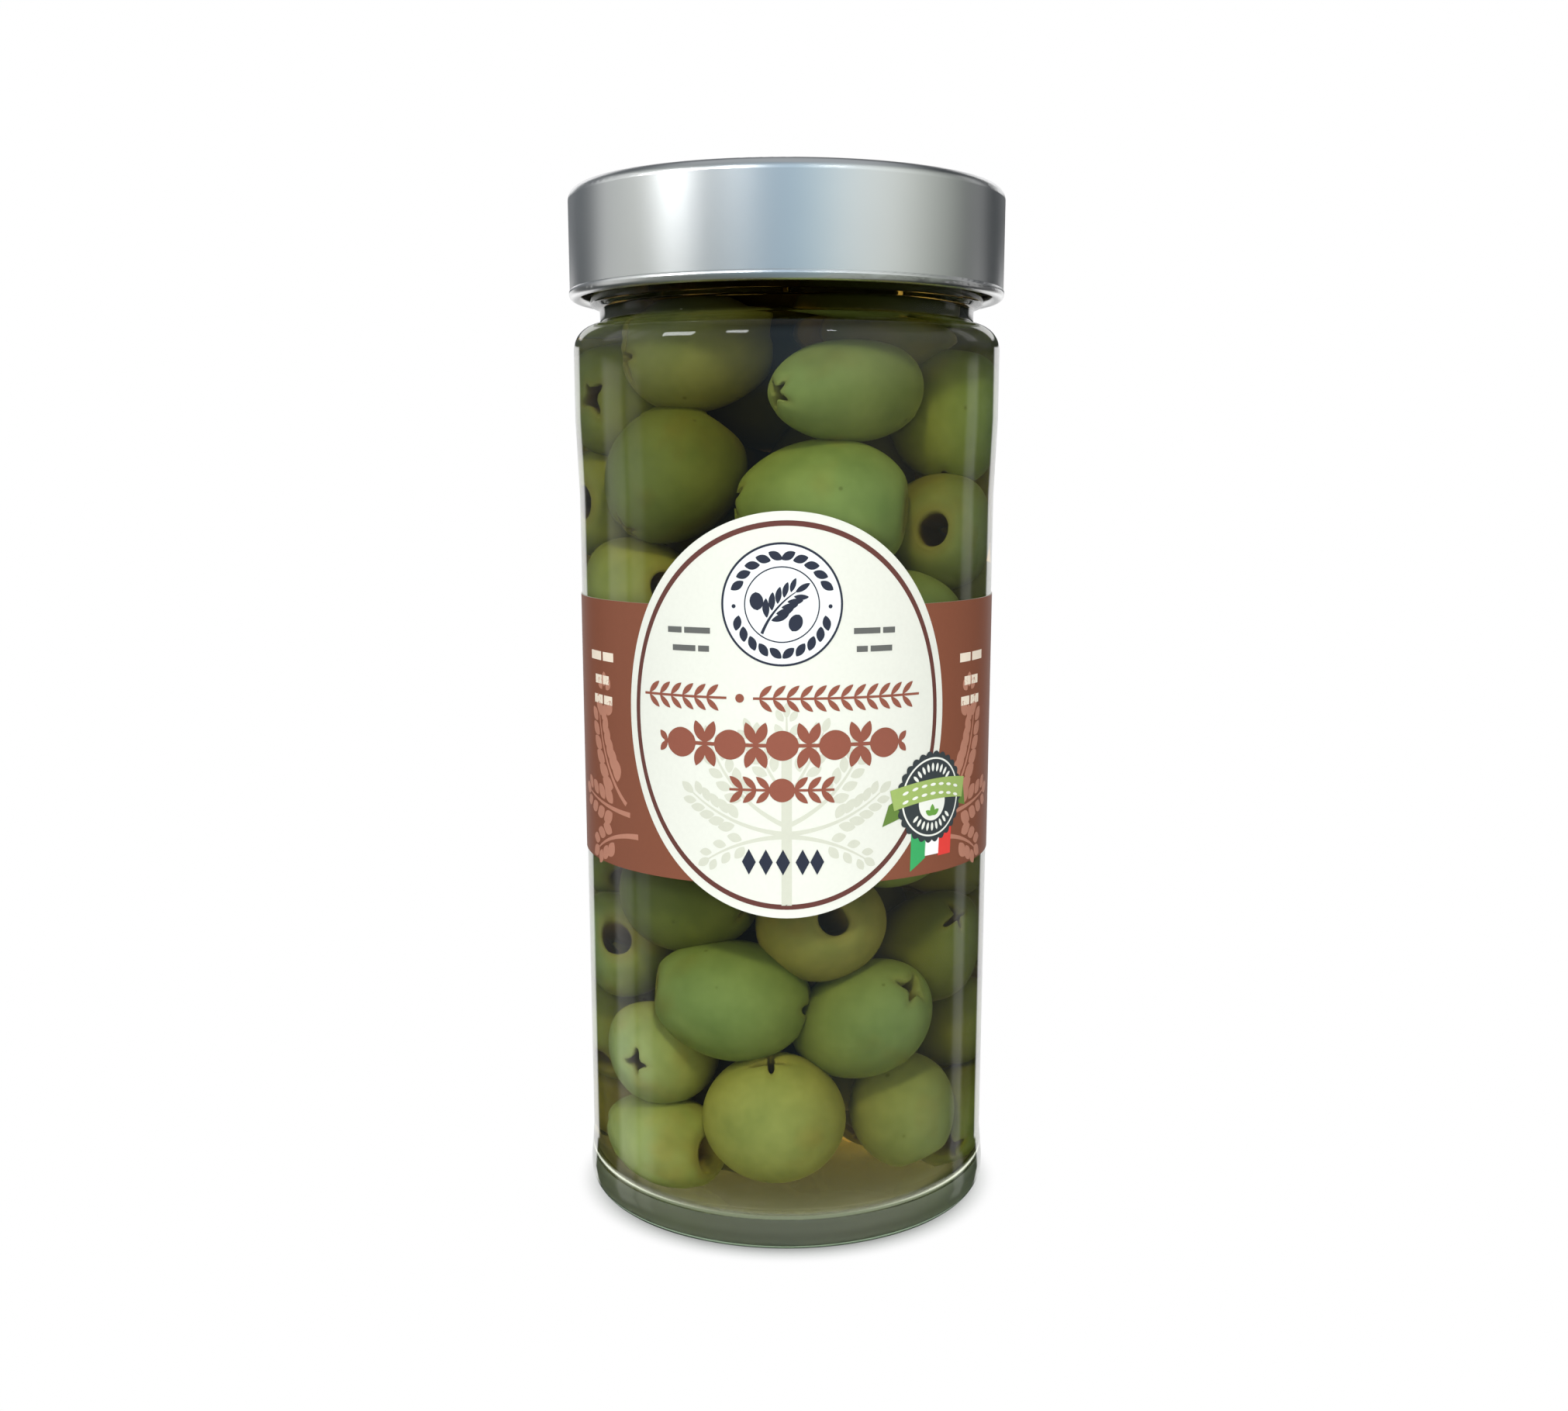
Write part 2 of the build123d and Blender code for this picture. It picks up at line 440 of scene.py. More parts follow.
outside = [
    (0, push_up, 0),
    (bearing_radius, 0, 12),
    (band_radius, 0, 3.6),
    (band_radius, heel_band_height, 9),
    (panel_radius, panel_foot, 9),
    (panel_radius, panel_top, 9),
    (band_radius, band_foot, 9),
    (band_radius, shoulder_height, 4.2),
    (neck_radius, neck_foot, 0.7),
    (neck_radius, neck_top, 0.7),
    (bead_radius, bead_foot, 0.4),
    (bead_radius, bead_top, 0.4),
    (finish_radius, finish_foot, 0.4),
    (finish_radius, thread_foot, 0),
    (finish_radius, crest_foot, 0),
    (finish_radius, crest_top, 0),
    (finish_radius, thread_top, 0),
    (finish_radius, rim_height, 1.3),
    (bore_radius, rim_height, 1.0),
]
glass = turned("flint_glass_jar", rounded([*outside, *reversed(inside())]), 360, moulded)
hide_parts("glass_jar")

glass_index = 1.5
body_density = 50.0


def clear_body(tree, index, body_colour, shadow_level, **surface):
    """Makes a tree's material clear: a Principled shader with full transmission, a Transparent
    shader for shadow rays so that lamps shine in, and a body that absorbs light."""
    shader = node(
        tree, "BsdfPrincipled", Base_Color=pure_white, Roughness=0.0, IOR=index,
        Transmission_Weight=1.0,
    )
    set_up(tree, shader, **surface)
    shadow_colour = (shadow_level, shadow_level, shadow_level, 1.0)
    lets_light = node(tree, "BsdfTransparent", Color=shadow_colour)
    path = node(tree, "LightPath")
    skin = mixed(tree, path.outputs["Is Shadow Ray"], shader.outputs[0], lets_light.outputs[0])
    body = node(tree, "VolumeAbsorption", Color=(*body_colour, 1.0), Density=body_density)
    node(tree, "OutputMaterial", Surface=skin, Volume=body.outputs[0])


def bumped(tree, height, strength, distance):
    """The normal of a surface with this height pressed into it. Distance is in metres."""
    made = node(tree, "Bump", Strength=strength, Distance=distance, Height=height)
    return made.outputs["Normal"]


def texture(tree, kind, output="Fac", **settings):
    """A texture that is fixed to the piece."""
    place = node(tree, "TexCoord")
    return node(tree, kind, Vector=place.outputs["Object"], **settings).outputs[output]


def marked(tree, name, output="Fac"):
    """An attribute of the mesh."""
    return node(tree, "Attribute", attribute_name=name).outputs[output]


def mark(piece, name, values, kind="FLOAT", domain="FACE"):
    """Writes an attribute of the mesh, with one value or colour for each face or point."""
    marks = piece.data.attributes.new(name, kind, domain)
    flat = np.asarray(values).reshape(-1).astype(np.float32)
    marks.data.foreach_set("color" if kind == "FLOAT_COLOR" else "value", flat)


# Slow waves from the mould. Where brine wets the wall there is hardly any reflection, the glass of
# the inner floor and the foot of the inner wall is tinted a dull olive-brown in clouds, and the
# underside is stippled, which scatters light.
flint, tree = paint_tree("flint_glass")
waves = texture(tree, "TexNoise", Scale=38.0, Detail=1.0)
floor_tint_clouds = maths(tree, "ADD", texture(tree, "TexNoise", Scale=140.0, Detail=3.0), 0.5)
floor_tint = maths(tree, "MULTIPLY", marked(tree, "floor_tinted"), floor_tint_clouds)
clear_body(
    tree, glass_index, (0.68, 0.76, 0.66), 0.97,
    Base_Color=ramp(tree, floor_tint, [(0.0, (1.0, 1.0, 1.0)), (1.0, (0.46, 0.46, 0.24))]),
    Roughness=maths(tree, "MULTIPLY", marked(tree, "stippled"), 0.45),
    Specular_Tint=maths(tree, "SUBTRACT", 1.0, marked(tree, "wetted")),
    Normal=bumped(tree, waves, 0.12, 0.0006),
)
glass.data.materials.append(flint)
centres = np.zeros(len(glass.data.polygons) * 3)
glass.data.polygons.foreach_get("center", centres)
centres = centres.reshape(-1, 3) * 1000
reach, height = np.hypot(centres[:, 0], centres[:, 1]), centres[:, 2]
within_wall = (reach < inner_radius + 0.05) & (height > base_thickness - 0.1)
floor_tint_height = 2.7
mark(glass, "wetted", within_wall & (height < fill_height))
mark(glass, "floor_tinted", within_wall & (height < base_thickness + floor_tint_height))
mark(glass, "stippled", (reach < bearing_radius - 1.0) & (height < push_up + 0.1))

# ---- Brine ----
# Salt water with olive juice in it, pale green-gold, up to just under the cap. Its skin reaches a
# tenth of a millimetre into the glass, so that no air shows between them.
into_wall = 0.1
brine_index = 1.34
brine_outline = rounded([
    *inside(into_wall),
    (bore_radius + into_wall, fill_height, 0),
    (0, fill_height, 0),
])
brine = turned("brine", brine_outline, 180)
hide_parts("olives_in_brine")
brine_material, tree = paint_tree("brine")
clear_body(tree, brine_index, (0.90, 0.70, 0.10), 1.0, Specular_Tint=(0.0, 0.0, 0.0, 1.0))
brine.data.materials.append(brine_material)

# ---- Olives ----
# Green table olives. A machine has pushed each stone out: it leaves a four-pointed cut where the
# punch goes in and a round hole where the stone comes out. They lie loosely on each other.
olive_count = 69
olive_length = 24.5
olive_girth = 21.0
topmost = fill_height - 2.0
# The label hides olives between these heights, and elsewhere those with a smaller y show.
label_hides = (64, 108)
front_zone = -3
rng = np.random.default_rng(7)

# Each chosen olive: angle round the jar from the front, height, distance of its middle from the
# axis, the way its punch hole points (turn from sideways right to outwards, then lean upwards),
# length, girth, and kind (0 green, 1 pale, 2 dark with painted shade, 3 golden).
chosen = [
    (-47, 149.6, 21.6, -58, 4, 23.0, 19.2, 0),
    (22, 145.6, 22.4, -24, 4, 28.0, 16.2, 0),
    (80, 140.5, 22.8, 0, 76, 22.5, 20.0, 0),
    (-92, 145.6, 22.6, 225, 0, 21.0, 19.6, 0),
    (-50, 131.2, 21.8, -60, 50, 24.5, 21.4, 2),
    (20, 125.4, 22.2, 20, -4, 27.0, 22.6, 0),
    (-99, 126.6, 22.6, 42, 0, 22.0, 19.6, 0),
    (69, 122.0, 22.6, 160, 4, 24.0, 20.2, 0),
    (-68, 109.0, 22.8, 0, 10, 24.0, 20.0, 3),
    (52, 105.5, 22.6, 180, 8, 24.0, 20.0, 0),
    (-41, 56.6, 20.5, 180, 0, 24.0, 19.6, 2),
    (-86, 45.4, 22.6, 25, 20, 22.5, 19.0, 0),
    (13, 56.6, 21.0, 90, 14, 22.5, 20.2, 3),
    (62, 46.0, 22.4, -66, -33, 22.5, 19.4, 2),
    (-22, 41.2, 22.6, 165, 4, 26.0, 21.2, 0),
    (33, 38.8, 22.4, 242, -30, 25.0, 20.6, 0),
    (-55, 28.0, 22.6, -114, 2, 22.5, 18.4, 1),
    (-6, 20.8, 22.6, -90, -68, 24.0, 22.4, 3),
    (-55, 13.6, 21.5, -15, 0, 22.5, 17.6, 1),
    (49, 22.4, 22.4, 60, -70, 22.0, 17.2, 1),
    (96, 13.5, 22.8, 0, 20, 22.0, 18.0, 0),
    (96, 31.5, 22.8, 120, 70, 20.0, 17.0, 0),
]


def settle(start, first_axes, lengths, girths, pinned):
    """Positions and axes of olives that no longer overlap. Each olive is three balls along its
    axis. In each round, balls that overlap push each other apart, the wall and the floor push
    them in, gravity pulls them down, and each olive is put back together from its three balls.
    Pinned olives hardly give way, and they are drawn back to their places."""
    rounds, last_free_rounds = 500, 80
    end_share, push_share, return_share = 0.42, 0.6, 0.25
    sinking, clearing, axis_hold = 0.02, 0.4, 2.0
    count = len(start)
    middle, axes = start, first_axes
    spread = (lengths / 2 - girths * end_share)[:, None]
    big, small = girths * 0.50, girths * end_share
    radii = np.stack([small, big, small], 1).reshape(-1)
    owner = np.repeat(np.arange(count), 3)
    stiff = np.repeat(pinned, 3)
    yields = np.full((len(radii), len(radii)), 0.5)
    yields[stiff[:, None] & ~stiff[None, :]] = 0.06
    yields[~stiff[:, None] & stiff[None, :]] = 0.94
    yields = yields * (owner[:, None] != owner[None, :])
    squeeze = np.where(stiff[:, None] & stiff[None, :], 0.93, 0.97)
    needed = (radii[:, None] + radii[None, :]) * squeeze
    for turn in range(rounds):
        offsets = np.stack([-spread * axes, 0 * axes, spread * axes], 1)
        balls = (middle[:, None, :] + offsets).reshape(-1, 3)
        gap = balls[:, None, :] - balls[None, :, :]
        far = np.linalg.norm(gap, axis=2) + 1e-9
        push = yields * np.where(far < needed, (needed - far) / far, 0.0)
        balls += push_share * np.einsum("ij,ijk->ik", push, gap)
        out = np.hypot(balls[:, 0], balls[:, 1])
        narrowing = np.clip((balls[:, 2] + radii - inner_shoulder_foot) / 3.0, 0, 1)
        limit = inner_radius - 0.15 - (inner_radius - bore_radius) * narrowing - radii
        balls[:, :2] *= np.where(out > limit, limit / np.maximum(out, 1e-6), 1.0)[:, None]
        balls[:, 2] = np.maximum(balls[:, 2], base_thickness + 0.2 + radii)
        balls[:, 2] = np.minimum(balls[:, 2], topmost - radii)
        balls = balls.reshape(count, 3, 3)
        middle = balls.mean(1)
        axes = balls[:, 2] - balls[:, 0]
        axes[pinned] += axis_hold * first_axes[pinned]
        axes /= np.linalg.norm(axes, axis=1)[:, None]
        middle[~pinned, 2] -= sinking
        hidden = (middle[:, 2] > label_hides[0]) & (middle[:, 2] < label_hides[1])
        intruding = ~pinned & ~hidden & (middle[:, 1] < front_zone)
        middle[intruding, 1] += clearing
        if turn < rounds - last_free_rounds:
            middle[pinned] += return_share * (start[pinned] - middle[pinned])
    return middle, axes


def place_olives():
    """Middles, axes, sizes and kinds of all olives: the chosen ones, and loose ones that start
    near the axis, at the back and behind the label."""
    turn, height, out, swing, lean, length, girth, kind = np.array(chosen, float).T
    turn, swing, lean = np.radians(turn), np.radians(swing)[:, None], np.radians(lean)[:, None]
    middle = np.stack([out * np.sin(turn), -out * np.cos(turn), height], 1)
    right = np.stack([np.cos(turn), np.sin(turn), 0 * turn], 1)
    outwards = np.stack([np.sin(turn), -np.cos(turn), 0 * turn], 1)
    level = np.cos(swing) * right + np.sin(swing) * outwards
    axes = np.cos(lean) * level + np.sin(lean) * np.array([0, 0, 1.0])
    spare = olive_count - len(chosen)
    # Loose olives start on the free places of rings of six with one in the middle.
    ring_radius = 23.0
    places = []
    for layer, height in enumerate(np.arange(14, 166, 16.4)):
        for angle in radians(26 * layer) + np.arange(6) * tau / 6:
            places.append((ring_radius * sin(angle), -ring_radius * cos(angle), height))
        places.append((0.0, 0.0, height + 4))
    places = np.array(places) + rng.normal(0, 1.0, (len(places), 3))
    shows = (places[:, 2] < label_hides[0]) | (places[:, 2] > label_hides[1])
    places = places[~((places[:, 1] < front_zone) & shows)]
    nearest = np.linalg.norm(places[:, None] - middle[None], axis=2).min(1)
    places = places[np.argsort(-nearest)[:spare]]
    loose_axes = rng.normal(0, 1, (spare, 3)) * (1, 1, 0.6)
    loose_axes /= np.linalg.norm(loose_axes, axis=1)[:, None]
    lengths = np.concatenate([length, rng.normal(olive_length, 0.9, spare)])
    girths = np.concatenate([girth, rng.normal(olive_girth, 0.6, spare)])
    loose_kinds = rng.choice(4, spare, p=[0.45, 0.2, 0.2, 0.15])
    # The loose olives round the axis get the dark kind as painted shade.
    loose_kinds[np.hypot(places[:, 0], places[:, 1]) < 16] = 2
    kinds = np.concatenate([kind, loose_kinds]).astype(int)
    pinned = np.arange(olive_count) < len(chosen)
    start, first_axes = np.concatenate([middle, places]), np.concatenate([axes, loose_axes])
    middle, axes = settle(start, first_axes, lengths, girths, pinned)
    return middle, axes, lengths, girths, kinds


roundness = 1.03


def olive_skins(lengths, girths, around=56, outer=34, bore=10):
    """Points of many olives round their own axes, in shape (olive, around, along, 3), and how much of
    the dull flesh colour each point takes, 0 to 1: a little at the rims of both ends, and more
    deeper in the bore, where it is painted shade. The skin runs from the cut end (t near 0) to the
    hole end (t near pi): height -length/2 cos t, radius girth/2 sin t to the power of the roundness,
    with two and three gentle lobes round it. The bore goes back through the middle to the cut."""

    def draw(low, high):
        """One number for each olive."""
        return rng.uniform(low, high, len(lengths))[:, None, None]

    turn = np.linspace(0, tau, around, endpoint=False)[None, :, None]
    half, reach = lengths[:, None, None] / 2, girths[:, None, None] / 2
    # The cut has four points, and the hole is nearly round.
    cut = draw(0.9, 1.6) + draw(1.1, 2.1) * (0.5 + 0.5 * np.cos(4 * turn + draw(0, tau))) ** 1.8
    cut = cut * (1 + 0.25 * np.cos(turn + draw(0, tau)))
    hole = draw(2.7, 3.3) * (1 + 0.06 * np.cos(2 * turn + draw(0, tau)))
    first = np.arcsin(np.clip(cut / reach, 0, 0.9) ** (1 / roundness))
    last = pi - np.arcsin(np.clip(hole / reach, 0, 0.9) ** (1 / roundness))
    # Rows of points crowd a little towards both ends.
    crowded = (1 - np.cos(np.linspace(0, pi, outer))) / 2
    along = crowded * 0.35 + np.linspace(0, 1, outer) * 0.65
    t = first + (last - first) * along[None, None, :]

    def near(end, width):
        """A bell over t: 1 at this end, exp(-1) at this width from it."""
        return np.exp(-(((t - end) / width) ** 2))

    lobes = 1 + draw(0.0, 0.025) * np.cos(2 * turn + draw(0, tau))
    lobes = lobes + draw(0.0, 0.015) * np.cos(3 * turn + draw(0, tau))
    taper = 1 + draw(-0.12, 0.12) * np.cos(t)
    skin_r = reach * np.sin(t) ** roundness * (1 + (lobes - 1) * np.sin(t)) * taper
    tip = draw(0.0, 0.9)
    skin_z = -half * np.cos(t) - tip * near(0, 0.45)
    dimple = 0.8 * near(last, 0.16) + 0.5 * near(first, 0.14)
    skin_z = skin_z - np.sign(-np.cos(t)) * dimple
    deep = np.linspace(0, 1, bore + 2)[1:-1][None, None, :]
    bore_r = (hole * 0.92) * (1 - deep) + (cut * 0.9) * deep + 0.5 * np.sin(pi * deep)
    bore_z = skin_z[:, :, -1:] * (1 - deep) + skin_z[:, :, :1] * deep
    radius = np.concatenate([skin_r + 0 * turn, bore_r + 0 * turn], 2)
    height = np.concatenate([skin_z + 0 * turn, bore_z + 0 * turn], 2)
    # Painted shade: the dull flesh colour spreads a little over the rims of both ends and fills the
    # bore, most in its middle.
    rim = 0.4 * near(last, 0.16) + 0.25 * near(first, 0.12)
    depth = np.clip(np.minimum(deep, 1 - deep) * 6, 0.35, 1)
    inner = np.concatenate([rim + 0 * skin_r, depth + 0 * bore_r], 2)
    points = np.stack([radius * np.cos(turn), radius * np.sin(turn), height], -1)
    return points, inner


def pressed(points, gap=0.08):
    """Olives give way where they touch the glass. A point's distance from the axis is at most the
    wall's, and its height is at least the floor's: the dome, then the round corner at the wall."""
    wall_heights = [inner_shoulder_foot - 1.5, shoulder_height]
    wall = np.interp(points[..., 2], wall_heights, [inner_radius - gap, bore_radius - gap])
    out = np.hypot(points[..., 0], points[..., 1])
    inwards = np.minimum(1.0, wall / np.maximum(out, 1e-6))
    out = out * inwards
    past = np.clip(out - (inner_radius - inner_corner), 0, inner_corner)
    floor = base_thickness + gap + push_up * np.clip(1 - out / bearing_radius, 0, 1)
    floor = floor + inner_corner - np.sqrt(inner_corner ** 2 - past ** 2)
    height = np.maximum(points[..., 2], floor)
    return np.stack([points[..., 0] * inwards, points[..., 1] * inwards, height], -1)


middles, axes, lengths, girths, kinds = place_olives()
skins, inner = olive_skins(lengths, girths)
side = np.cross(axes, rng.normal(0, 1, axes.shape))
side /= np.linalg.norm(side, axis=1)[:, None]
frames = np.stack([side, np.cross(axes, side), axes], 1)
skins = pressed(np.einsum("nabk,nkj->nabj", skins, frames) + middles[:, None, None, :])
around, along = skins.shape[1:3]


def dressed(tree, **settings):
    """Gives a tree's material a Principled surface with these settings."""
    shader = node(tree, "BsdfPrincipled", **settings)
    node(tree, "OutputMaterial", Surface=shader.outputs[0])


def olive_material(name):
    """Matt skin under brine: the olive's colour from its attribute, painted shade included, clouded by
    slow noise, freckled by fine cells, browner in a few bruises, and dull yellow flesh inside the
    hole, darker than real flesh as painted shade of the bore."""
    material, tree = paint_tree(name)
    clouds = texture(tree, "TexNoise", Scale=110.0, Detail=3.0, Roughness=0.6)
    bruises = texture(tree, "TexNoise", Scale=75.0, Detail=2.0)
    freckles = texture(tree, "TexVoronoi", "Distance", Scale=170.0)
    colour = marked(tree, "skin", "Color")
    for factor, stops in (
        (clouds, [(0.3, (0.80, 0.84, 0.78)), (0.7, (1.18, 1.14, 1.16))]),
        (bruises, [(0.60, (1.0, 1.0, 1.0)), (0.74, (1.04, 0.87, 0.74))]),
        (freckles, [(0.04, (0.70, 0.68, 0.62)), (0.08, (1.0, 1.0, 1.0))]),
    ):
        colour = multiplied(tree, colour, ramp(tree, factor, stops))
    flesh = node(tree, "Mix", data_type="RGBA", A=colour, B=(0.20, 0.165, 0.035, 1.0))
    set_up(tree, flesh, Factor=marked(tree, "inner"))
    dressed(
        tree, Roughness=0.55, Specular_IOR_Level=0.12, Base_Color=flesh.outputs["Result"],
        Normal=bumped(tree, clouds, 0.25, 0.0004),
    )
    return material


# The olives in the neck get painted shade for the shade of the cap, darker with height, and those
# round the axis get painted shade because hardly any light gets to them.
shade_foot = shoulder_height - 6.0
shade_height = 8.0
shade_strength = 0.78
lit_from = 20.0

for kind, (name, colour) in enumerate((
    ("green_olives", (0.164, 0.232, 0.066)),
    ("pale_olives", (0.248, 0.338, 0.120)),
    # The dark kind is partly painted shade: it stands for olives that little light reaches.
    ("dark_and_shaded_olives", (0.118, 0.160, 0.036)),
    ("golden_olives", (0.235, 0.266, 0.070)),
)):
    mine = np.flatnonzero(kinds == kind)
    count = len(mine)
    # Both directions of a skin close, and the quads are turned over so that they face outwards.
    quads = grid_faces(around, along, True, True)[:, [0, 3, 2, 1]]
    faces = (quads[None] + np.arange(count)[:, None, None] * around * along).reshape(-1, 4)
    piece = mesh_piece(name, skins[mine], faces)
    brighter = rng.normal(0, 0.07, (count, 1))
    tones = np.array(colour) * (1 + brighter + rng.normal(0, 0.03, (count, 3)))
    out = np.hypot(middles[mine, 0], middles[mine, 1])[:, None]
    # Painted shade: olives nearer the axis than lit_from are darker.
    tones = tones * np.clip(out / lit_from, 0.4, 1.0) ** 1.2
    # Painted shade of the cap: the skin darkens above shade_foot.
    risen = np.clip((skins[mine][..., 2].reshape(count, -1, 1) - shade_foot) / shade_height, 0, 1)
    painted = np.ones((count, around * along, 4))
    painted[:, :, :3] = tones[:, None, :] * (1 - shade_strength * risen)
    mark(piece, "skin", painted, "FLOAT_COLOR", "POINT")
    mark(piece, "inner", inner[mine], "FLOAT", "POINT")
    piece.data.materials.append(olive_material(name))
    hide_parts("olives_in_brine")

# ---- Twist-off cap ----
# Tinplate drawn into a deep cup and lacquered satin silver, with a sunk panel, a rolled hem and
# four lugs that hold the thread of the glass.
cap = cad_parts["twist_off_cap"]
material, tree = paint_tree("satin_tinplate")
grain = texture(tree, "TexNoise", Scale=2600.0, Detail=2.0)
clouds = texture(tree, "TexNoise", Scale=60.0, Detail=2.0)
silver = ramp(tree, clouds, [(0.3, (0.90, 0.905, 0.905)), (0.7, (0.94, 0.94, 0.935))])
grained = bumped(tree, grain, 0.10, 0.00004)
dressed(tree, Metallic=1.0, Roughness=0.30, Base_Color=silver, Normal=grained)
cap.data.materials[0] = material

# ---- Label ----
# One die-cut sheet of coated paper, wrapped round the panel and glued: a band and a tall oval. The
# sides of the band are printed solid rust.
label_low, label_high = (np.array(corner) * 1000 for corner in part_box("label"))
label_radius = label_high[0]
sheet = 0.15
glued_in = 0.02
ink_film = 0.025
ink_step = 0.024
oval_top, oval_bottom = label_high[2], label_low[2]
oval_centre = (oval_top + oval_bottom) / 2
oval_half_height = (oval_top - oval_bottom) / 2
oval_half_width = 28.8
band_centre = oval_centre - 4.8
band_half = 22.7
half_gap = 2.5
wrap_half = pi * label_radius - half_gap


def wrapped(across, height, lift=0.0):
    """Flat paper bent round the jar: x = R sin(across / R), y = -R cos(across / R)."""
    radius = label_radius + lift
    bend = across / label_radius
    return np.stack([radius * np.sin(bend), -radius * np.cos(bend), height + 0 * across], -1)


def sheet_piece(name, grids, lift, thickness, material):
    """A thin closed sheet from flat (across, height) grids, all bent round the jar at this lift.
    Doubles are merged first, so that rings and tips close, and the edges of the sheet stay sharp."""
    points, faces, start = [], [], 0
    for across, height in grids:
        points.append(wrapped(across, height, lift).reshape(-1, 3))
        faces.append(grid_faces(*across.shape) + start)
        start += across.size
    piece = mesh_piece(name, np.concatenate(points), np.concatenate(faces))
    thick = bmesh.new()
    thick.from_mesh(piece.data)
    bmesh.ops.remove_doubles(thick, verts=thick.verts, dist=2e-6)
    bmesh.ops.solidify(thick, geom=thick.faces[:], thickness=thickness * 0.001)
    thick.to_mesh(piece.data)
    thick.free()
    piece.data.shade_smooth()
    piece.data.set_sharp_from_angle(angle=radians(40))
    piece.data.materials.append(material)
    return piece


def printed(name, grids, layer, material):
    """A film of ink, so many layers above the paper."""
    return sheet_piece(name, grids, ink_step * layer, ink_film, material)


def mirrored(grids):
    """The same grids on the other side of the middle, turned so that they still face outwards."""
    return [(-across[:, ::-1], height[:, ::-1]) for across, height in grids]


def paper(name, colour):
    """Coated paper or ink on it: an even colour with faint fibres, slightly soft gloss."""
    material, tree = paint_tree(name)
    fibres = texture(tree, "TexNoise", Scale=1500.0, Detail=3.0)
    low, high = [tuple(part * share for part in colour) for share in (0.985, 1.015)]
    dressed(
        tree, Roughness=0.5, Specular_IOR_Level=0.35, Normal=bumped(tree, fibres, 0.08, 0.00003),
        Base_Color=ramp(tree, fibres, [(0.3, low), (0.7, high)]),
    )
    return material


def oval_half_at(height):
    """Half the oval's width at a height."""
    rise = (height - oval_centre) / oval_half_height
    return oval_half_width * np.sqrt(np.clip(1 - rise ** 2, 0, 1))


def crowded_out(half, count):
    """Places from -half to half that crowd towards both ends: half times the sine of even turns."""
    return half * np.sin(np.linspace(-pi / 2, pi / 2, count))


# Columns of points run from the lower edge of the sheet to its upper edge.
ear_top = oval_half_at(band_centre + band_half)
ear_bottom = oval_half_at(band_centre - band_half)
columns = np.unique(np.concatenate([
    np.linspace(-wrap_half, wrap_half, 241),
    crowded_out(ear_top, 61),
    crowded_out(ear_bottom, 41),
    crowded_out(oval_half_width, 41),
]).round(4))
oval_rise = oval_half_height * np.sqrt(np.clip(1 - (columns / oval_half_width) ** 2, 0, 1))
within_top, within_bottom = np.abs(columns) <= ear_top, np.abs(columns) <= ear_bottom
top_edge = np.where(within_top, oval_centre + oval_rise, band_centre + band_half)
bottom_edge = np.where(within_bottom, oval_centre - oval_rise, band_centre - band_half)
rows = np.linspace(0, 1, 13)[:, None]
label_grid = (columns[None, :] + 0 * rows, bottom_edge + (top_edge - bottom_edge) * rows)
cream = paper("cream_paper", (0.650, 0.668, 0.610))
label = sheet_piece("label_sheet", [label_grid], 0.0, sheet + glued_in, cream)
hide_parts("label")

rust = paper("rust_ink", (0.190, 0.061, 0.031))
height = np.linspace(band_centre - band_half, band_centre + band_half, 61)[:, None]
share = np.linspace(0, 1, 121)[None, :]
edge_in = oval_half_at(height)
right_field = (edge_in + (wrap_half - edge_in) * share, height + 0 * share)
printed("rust_field", [*mirrored([right_field]), right_field], 1, rust)

# ---- Print on the label ----
# Flat inks, each a thin film on the one below: a brown line inside the oval, sage leaf sprays, an
# olive garland in rust, a round medallion, and a dark seal with a green ribbon at the lower right.


def ink(name, *swatch):
    """An ink from the three numbers on its swatch (0 to 255), turned into light."""
    parts = np.array(swatch) / 255
    return paper(name, tuple(np.where(parts < 0.04045, parts / 12.92, ((parts + 0.055) / 1.055) ** 2.4)))


def centre_line(at, length, lean, bend, steps):
    """A line of this length that starts in direction lean and turns by bend (degrees): shares of
    its length, its headings, and the two coordinates of its points."""
    t = np.linspace(0, 1, steps)
    heading = np.radians(lean + bend * t)
    step = length / (steps - 1)
    across = at[0] + np.concatenate([[0], np.cumsum(np.cos(heading[:-1]) * step)])
    height = at[1] + np.concatenate([[0], np.cumsum(np.sin(heading[:-1]) * step)])
    return t, heading, across, height


def widened(heading, across, height, half):
    """A grid over a line: its points moved square to its heading by -half, nothing and half."""
    side = np.linspace(-1, 1, 3)[:, None] * half
    return across - side * np.sin(heading), height + side * np.cos(heading)


def blade(at, length, lean, width, power=0.8, bend=0.0, steps=13):
    """A leaf or an olive along a centre line, with half width = width / 2 * sin(pi t) ** power.
    With a power of 0 it is a bar."""
    t, heading, across, height = centre_line(at, length, lean, bend, steps)
    return widened(heading, across, height, width / 2 * np.sin(pi * t) ** power)


def bar(at, length, width, lean=0, steps=13):
    """A straight bar."""
    return blade(at, length, lean, width, 0, 0, steps)


def hoop(at, outer, inner, steps=97):
    """The ring between two ellipses with half axes outer and inner round one middle."""
    turn = np.linspace(0, tau, steps)[:, None]
    share = np.array([0.0, 1.0])[None, :]
    wide = inner[0] + (outer[0] - inner[0]) * share
    tall = inner[1] + (outer[1] - inner[1]) * share
    return at[0] + wide * np.cos(turn), at[1] + tall * np.sin(turn)


